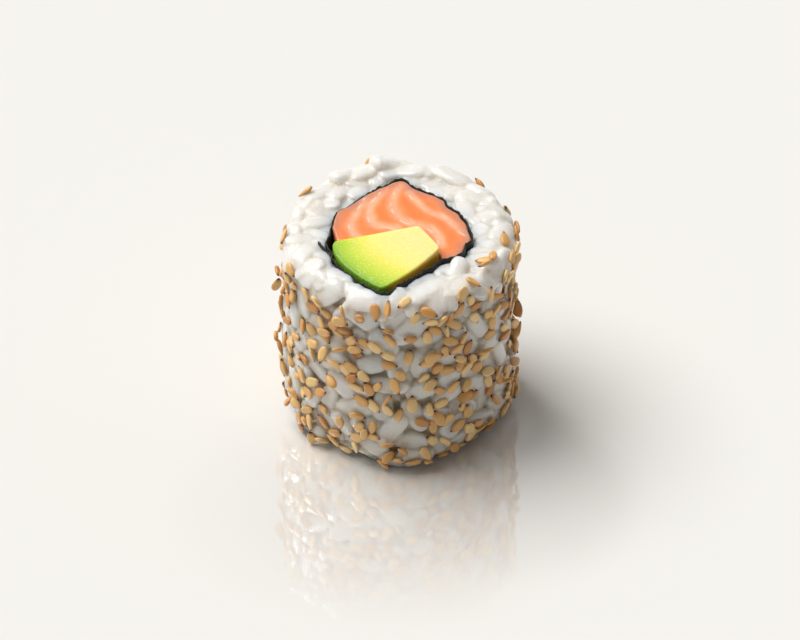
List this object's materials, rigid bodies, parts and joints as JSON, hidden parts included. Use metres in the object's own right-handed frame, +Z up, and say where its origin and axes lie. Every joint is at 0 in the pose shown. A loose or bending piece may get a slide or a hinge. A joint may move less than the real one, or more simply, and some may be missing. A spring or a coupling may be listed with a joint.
{
  "type": "uramaki roll",
  "caption": "Inside-out sushi roll piece standing on its cut end: rice with sesame seeds around nori, salmon and avocado.",
  "frame": {"origin": "under the middle of the roll, on the surface that its lower cut face rests on", "axes": "+Z up along the roll, towards its shown cut face; +Y away from the side where the avocado's tip meets the nori"},
  "size_m": [0.0442, 0.0442, 0.0432],
  "materials": {
    "rice": "satin",
    "sesame": "satin",
    "nori": "satin",
    "salmon": "gloss",
    "avocado": "satin"
  },
  "bodies": {
    "root": {"rice": "rice", "nori": "nori", "salmon": "salmon", "avocado": "avocado"}
  },
  "joints": []
}
